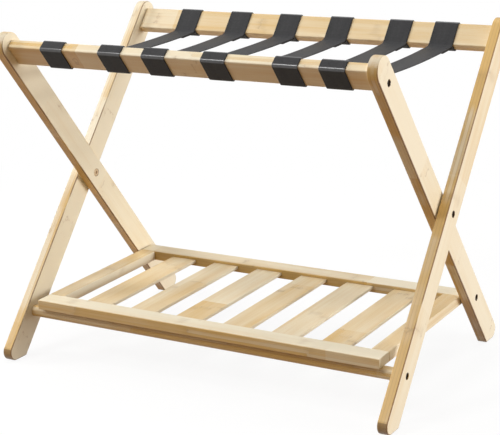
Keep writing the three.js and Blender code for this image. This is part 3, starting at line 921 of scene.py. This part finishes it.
def speckled_finish(name, first, second, stretch, roughness):
    """A matt surface with a fine grain of two colours."""
    finish = Finish(name)
    cloud = finish.noise(finish.add("ShaderNodeTexCoord", output="Object"), stretch, 3.0)
    finish.surface({
        "Base Color": finish.mix(finish.ramp(cloud, 0.3, 0.7), first, second),
        "Roughness": roughness + 0.15 * cloud,
        "Normal": finish.bump(cloud, depth=0.0001, strength=0.3),
    })
    return finish.material


nylon = speckled_finish("washer_nylon", NYLON_BODY, NYLON_SCUFFED, NYLON_GRAIN, roughness=0.45)
dowel_wood = speckled_finish("dowel_wood", DOWEL_PALE, DOWEL_DEEP, DOWEL_GRAIN, roughness=0.6)
small_part_finishes = {
    "pivot_washer": nylon,
    "shelf_spacer": nylon,
    "front_rail_dowel": dowel_wood,
    "back_rail_dowel": dowel_wood,
}
for group, finish in small_part_finishes.items():
    for name in sides:
        node = frame["nodes"][f"{group}_{name}"]
        node.data.materials.clear()
        node.data.materials.append(finish)

# Straps: black webbing, each looped round both top rails and sewn back on itself under the span.
# They are the seat for the luggage and the stop that holds the frames open, so they are nearly
# straight.
STRAP_COUNT = 6
STRAP_WIDTH = 0.040
STRAP_THICKNESS = 0.0018
STRAP_SAG = 0.006
STRAP_EDGE = 0.0009
STRAP_TAIL = 0.036
STRAP_LAP_GAP = 0.0001
PEEL_RADIUS = 0.012
LAP_RADIUS = 0.006
PINCH_RADIUS = 0.0014
CREASE_FROM = 100.0
CREASE_TO = 240.0
PATH_SPACING = 0.006
CORNER_STEPS = 6
RIB_PITCH = 0.0016
CHEVRON_WIDTH = 0.0056
CHEVRON_RISE = 1.6
YARN_PITCH = 0.0011
SELVEDGE_INNER = 0.0032
SELVEDGE_OUTER = 0.0024
FUZZ_GRAIN = (300, 300, 0)
WEAR_GRAIN = (45, 9, 0)
WEB_DARK = (0.021, 0.021, 0.0225, 1)
WEB_LIGHT = (0.060, 0.0595, 0.0615, 1)

webbing = Finish("strap_webbing")
on_web = webbing.attribute("weave", "Vector")
across, along, crease = webbing.split(on_web)
chevron = (across / CHEVRON_WIDTH).maths("PINGPONG", 1.0) * CHEVRON_RISE
rib = ((along / RIB_PITCH + chevron) * (2 * math.pi)).maths("SINE") * 0.5 + 0.5
yarn = (across * (2 * math.pi / YARN_PITCH)).maths("SINE") * 0.5 + 0.5
fuzz = webbing.noise(on_web, FUZZ_GRAIN, 3.0)
wear = webbing.noise(on_web, WEAR_GRAIN)
selvedge_from = STRAP_WIDTH / 2 - SELVEDGE_INNER
selvedge_to = STRAP_WIDTH / 2 - SELVEDGE_OUTER
selvedge = webbing.ramp(across.maths("ABSOLUTE"), selvedge_from, selvedge_to)
weave = rib * 0.55 * (1 - selvedge) + yarn * (0.25 + 0.4 * selvedge)
shade = weave * 0.55 + fuzz * 0.35 + swing(wear, 0.5)
webbing.surface({
    "Base Color": webbing.mix(webbing.ramp(shade, 0.05, 0.85), WEB_DARK, WEB_LIGHT),
    "Roughness": 0.5 + 0.2 * weave,
    "Specular IOR Level": 0.14,
    "Coat Weight": crease * (0.4 + 0.6 * fuzz),
    "Coat Roughness": 0.25,
    "Coat IOR": 1.8,
    "Normal": webbing.bump(weave + fuzz * 0.3, depth=0.0002, strength=0.4),
})

span_low, span_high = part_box("strap_1_span")
span_height = span_high.z - STRAP_THICKNESS / 2
span_half = (span_high.y - span_low.y) / 2
strap_offset = CLEARANCE + STRAP_THICKNESS / 2
corner_radius = RAIL_EASE + strap_offset


def rounded(corners):
    """A path in a plane through (point, radius) corners, each turn an arc of its radius."""
    path = [corners[0][0]]
    for (before, _), (corner, radius), (after, _) in zip(corners, corners[1:], corners[2:]):
        into = (corner - before).normalized()
        out = (after - corner).normalized()
        turn = into.angle_signed(out)
        reach = radius * math.tan(abs(turn) / 2)
        centre = corner + (out - into).normalized() * (radius / math.cos(turn / 2))
        spoke = corner - into * reach - centre
        for step in range(CORNER_STEPS + 1):
            spin = Matrix.Rotation(-turn * step / CORNER_STEPS, 2)
            path.append(centre + spin @ spoke)
    path.append(corners[-1][0])
    return path


def closely(path):
    """The same path with points no further apart than the path spacing."""
    dense = [path[0]]
    for start, end in zip(path, path[1:]):
        parts = max(1, math.ceil((end - start).length / PATH_SPACING))
        dense += [start.lerp(end, part / parts) for part in range(1, parts + 1)]
    return dense


def half_strap():
    """Corners of a strap's middle line from its span round the back rail to its sewn end, each a
    (y, z) point with the radius of its turn."""
    place = rail_place(lean=-1)
    half_y = RAIL_WIDTH / 2 + strap_offset
    half_z = RAIL_THICKNESS / 2 + strap_offset

    def corner(y, z):
        return (place @ Vector((0, y, z))).yz

    top_front = corner(half_y, half_z)
    bottom_front = corner(-half_y, half_z)
    bottom_back = corner(-half_y, -half_z)
    face = (top_front - bottom_front).normalized()
    peel = bottom_front + face * ((span_height - bottom_front.y) / face.y)
    ply = STRAP_THICKNESS + STRAP_LAP_GAP
    pinch = corner(-half_y, half_z - ply)
    lap = pinch + face * ((span_height - ply - pinch.y) / face.y)
    return [
        (Vector((0, span_height)), 0),
        (peel, PEEL_RADIUS),
        (top_front, corner_radius),
        (corner(half_y, -half_z), corner_radius),
        (bottom_back, corner_radius),
        (pinch, PINCH_RADIUS),
        (lap, LAP_RADIUS),
        (lap - Vector((STRAP_TAIL, 0)), 0),
    ]


def sag(y):
    """How far the span hangs below a straight line at this depth of the rack."""
    return STRAP_SAG * max(0, 1 - (y / span_half) ** 2)


def drift(front_x, back_x, y):
    """A strap's middle at this depth of the rack, between its places on the two rails."""
    share = min(max((y + span_half) / (2 * span_half), 0), 1)
    return front_x + (back_x - front_x) * share


def strap_path():
    """The middle line of a whole strap, from its front sewn end to its back one."""
    back = closely(rounded(half_strap()))
    front = [Vector((-point.x, point.y)) for point in reversed(back)]
    return [Vector((point.x, point.y - sag(point.x))) for point in front[:-1] + back]


path = strap_path()
half_width = STRAP_WIDTH / 2
half_thickness = STRAP_THICKNESS / 2
flat_half = half_width - STRAP_EDGE
bulge = math.sqrt(0.5)
quarter = [(flat_half, half_thickness), (flat_half + STRAP_EDGE * bulge, half_thickness * bulge)]
right_edge = quarter + [(half_width, 0)] + [(u, -h) for u, h in reversed(quarter)]
section = right_edge + [(-u, -h) for u, h in right_edge]


def strap_mesh(front_x, back_x):
    """The section swept along the path, drifting from its place on one rail to that on the other."""
    solid = bmesh.new()
    weave = solid.verts.layers.float_vector.new("weave")
    rings = []
    run = 0.0
    for index, point in enumerate(path):
        before = path[max(index - 1, 0)]
        after = path[min(index + 1, len(path) - 1)]
        run += (point - before).length
        ahead = (after - before).normalized()
        upward = Vector((-ahead.y, ahead.x))
        crease = 0.0
        if before != point != after:
            bend = (point - before).angle(after - point) / ((after - before).length / 2)
            crease = min(max((bend - CREASE_FROM) / (CREASE_TO - CREASE_FROM), 0), 1)
        middle = drift(front_x, back_x, point.x)
        ring = []
        for u, h in section:
            flat = point + upward * h
            vertex = solid.verts.new((middle + u, flat.x, flat.y))
            vertex[weave] = (u, run, crease)
            ring.append(vertex)
        rings.append(ring)
    for lower, upper in zip(rings, rings[1:]):
        for index in range(len(section)):
            solid.faces.new((lower[index - 1], lower[index], upper[index], upper[index - 1]))
    solid.faces.new(rings[0])
    solid.faces.new(rings[-1])
    return smoothed(plain_mesh(solid))


strap_rows = []
for index in range(STRAP_COUNT):
    nodes = [f"strap_{index + 1}_{part}" for part in ("front_loop", "span", "back_loop")]
    front_x = sum(corner.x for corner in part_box(nodes[0])) / 2
    back_x = sum(corner.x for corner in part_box(nodes[2])) / 2
    strap_rows.append((front_x, back_x))
    mesh = strap_mesh(front_x, back_x)
    mesh.materials.append(webbing.material)
    strap = shown(f"strap_{index + 1}", mesh)
    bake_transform(strap)
    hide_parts(*nodes)

# Stitching: rows of thick black thread across each lap, where a strap's end is sewn to its span.
# The thread goes through both plies, so each row shows above the span and below the tail.
STITCH_LENGTH = 0.0026
STITCH_PITCH = 0.0036
STITCH_RADIUS = 0.00035
STITCHES_IN_ROW = 10
STITCH_ROWS = (0.008, 0.012, 0.028)
THREAD_GRAIN = (2500, 2500, 2500)
THREAD_DARK = (0.016, 0.016, 0.018, 1)
THREAD_LIGHT = (0.05, 0.05, 0.052, 1)

thread = speckled_finish("strap_thread", THREAD_DARK, THREAD_LIGHT, THREAD_GRAIN, roughness=0.45)
stitch_tree = GeometryTree("stitch_rows", Stitch="Object", Count="Int", Pitch="Float", Finish="Material")
one_row = stitch_tree.row("Stitch", "Count", "Pitch")
stitch_inputs = {"Points": stitch_tree.given("Geometry"), "Instance": one_row}
stitch_tree.end(stitch_tree.add("GeometryNodeInstanceOnPoints", inputs=stitch_inputs))

stitch_solid = bmesh.new()
bmesh.ops.create_icosphere(stitch_solid, subdivisions=1, radius=STITCH_RADIUS)
stitch_mesh = plain_mesh(stitch_solid)
stitch_mesh.transform(Matrix.Diagonal((STITCH_LENGTH / (2 * STITCH_RADIUS), 1, 1, 1)))
stitch_mesh.shade_smooth()
stitch = shown("stitch_pattern", stitch_mesh)

row_places = []
lap_edge = half_strap()[-2][0].x
for front_x, back_x in strap_rows:
    for side in (-1, 1):
        for inset in STITCH_ROWS:
            y = side * (lap_edge - inset)
            x = drift(front_x, back_x, y)
            top = span_height - sag(y) + half_thickness
            row_places.append((x, y, top))
            row_places.append((x, y, top - 2 * STRAP_THICKNESS - STRAP_LAP_GAP))
row_points = bpy.data.meshes.new("stitch_rows")
row_points.from_pydata(row_places, [], [])
stitching_mesh = stitch_tree.grow(
    row_points, Stitch=stitch, Count=STITCHES_IN_ROW, Pitch=STITCH_PITCH, Finish=thread
)
bpy.data.objects.remove(stitch)
stitching = shown("strap_stitching", stitching_mesh)
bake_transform(stitching)

# Studio: a white floor that keeps a faint shadow, a white surround and four soft lamps: a large one
# far to the right, smaller ones to the left and front left, and a broad one overhead.
FLOOR_HALF = 14.0
FLOOR_TOP = -0.0005
FLOOR_UNDERSIDE = -0.02
FLOOR_BOUNCE = (0.31, 0.185, 0.088, 1)
FLOOR_SHADOW_SHARE = 0.10
SHADOW_FADE_FROM = 0.6
SHADOW_FADE_TO = 1.5
AMBIENT = (0.13, 0.12, 0.105, 1)
WHITE = (1, 1, 1, 1)
RIGHT_PLACE = (7.5, 2.0, 1.6)
RIGHT_SIZE = 3.2
RIGHT_POWER = 495
LEFT_PLACE = (-3.5, -0.7, 2.0)
LEFT_SIZE = 0.9
LEFT_POWER = 70
FRONT_PLACE = (-2.0, -2.8, 3.6)
FRONT_SIZE = 1.3
FRONT_POWER = 80
TOP_PLACE = (0, 0.5, 5)
TOP_SIZE = 4.0
TOP_POWER = 125
LAMP_AIM = Vector((0, 0, 0.27))


class Studio(Nodes):
    """Shaders that look white to the camera and in reflections, and light the rack more plainly."""

    def plainly_seen(self):
        """1 where the camera, a reflection or glass shows the surface, 0 where it gives light."""
        rays = self.tree.nodes.new("ShaderNodeLightPath")
        seen = Value(self, rays.outputs["Is Camera Ray"])
        for name in ("Is Glossy Ray", "Is Transmission Ray"):
            seen = seen.maths("MAXIMUM", Value(self, rays.outputs[name]))
        return seen


floor_outline = rectangle(-FLOOR_HALF, FLOOR_HALF, -FLOOR_HALF, FLOOR_HALF)
floor = shown("floor", plain_mesh(prism(floor_outline, FLOOR_UNDERSIDE, FLOOR_TOP)))
floor_material = bpy.data.materials.new("studio_floor")
floor_material.use_nodes = True
floor_material.node_tree.nodes.clear()
floor_nodes = Studio(floor_material.node_tree)
bounce = floor_nodes.add("ShaderNodeBsdfDiffuse", inputs={"Color": FLOOR_BOUNCE})
shadow = floor_nodes.add("ShaderNodeBsdfDiffuse", inputs={"Color": WHITE})
glow = floor_nodes.add("ShaderNodeEmission", inputs={"Color": WHITE})
spot = floor_nodes.add("ShaderNodeTexCoord", output="Object")
from_rack = floor_nodes.add("ShaderNodeVectorMath", {"operation": "LENGTH"}, {0: spot}, "Value")
near = floor_nodes.ramp(from_rack, SHADOW_FADE_TO, SHADOW_FADE_FROM)
white_inputs = {0: near * FLOOR_SHADOW_SHARE, 1: glow, 2: shadow}
white_floor = floor_nodes.add("ShaderNodeMixShader", inputs=white_inputs)
floor_inputs = {0: floor_nodes.plainly_seen(), 1: bounce, 2: white_floor}
floor_look = floor_nodes.add("ShaderNodeMixShader", inputs=floor_inputs)
floor_end = floor_material.node_tree.nodes.new("ShaderNodeOutputMaterial")
floor_nodes.feed(floor_end.inputs["Surface"], floor_look)
floor.data.materials.append(floor_material)

world = bpy.data.worlds.new("studio")
world.use_nodes = True
world_nodes = Studio(world.node_tree)
surround = world_nodes.mix(world_nodes.plainly_seen(), AMBIENT, WHITE)
world_nodes.feed(world.node_tree.nodes["Background"].inputs["Color"], surround)
bpy.context.scene.world = world


def add_lamp(name, place, size, power):
    """A square lamp that points at the middle of the rack."""
    lamp = bpy.data.lights.new(name, "AREA")
    lamp.size = size
    lamp.energy = power
    thing = shown(name, lamp)
    thing.location = place
    thing.rotation_euler = (LAMP_AIM - Vector(place)).to_track_quat("-Z", "Y").to_euler()


add_lamp("right_lamp", RIGHT_PLACE, RIGHT_SIZE, RIGHT_POWER)
add_lamp("left_lamp", LEFT_PLACE, LEFT_SIZE, LEFT_POWER)
add_lamp("front_lamp", FRONT_PLACE, FRONT_SIZE, FRONT_POWER)
add_lamp("top_lamp", TOP_PLACE, TOP_SIZE, TOP_POWER)

# Camera: from the front right and above the straps, as in the photograph.
CAMERA_PLACE = (1.1405, -1.9505, 0.8354)
CAMERA_YAW = math.radians(30.48)
CAMERA_PITCH = math.radians(15.18)
CAMERA_ROLL = math.radians(-1.47)
CAMERA_LENS = 105.8
CAMERA_SENSOR = 36

camera = shown("camera", bpy.data.cameras.new("camera"))
camera.data.lens = CAMERA_LENS
camera.data.sensor_width = CAMERA_SENSOR
level = Matrix.Rotation(math.pi / 2 - CAMERA_PITCH, 4, "X")
aim = Matrix.Rotation(CAMERA_YAW, 4, "Z") @ level @ Matrix.Rotation(CAMERA_ROLL, 4, "Z")
camera.matrix_world = Matrix.Translation(CAMERA_PLACE) @ aim
bpy.context.scene.camera = camera
bpy.context.scene.view_settings.view_transform = "Standard"
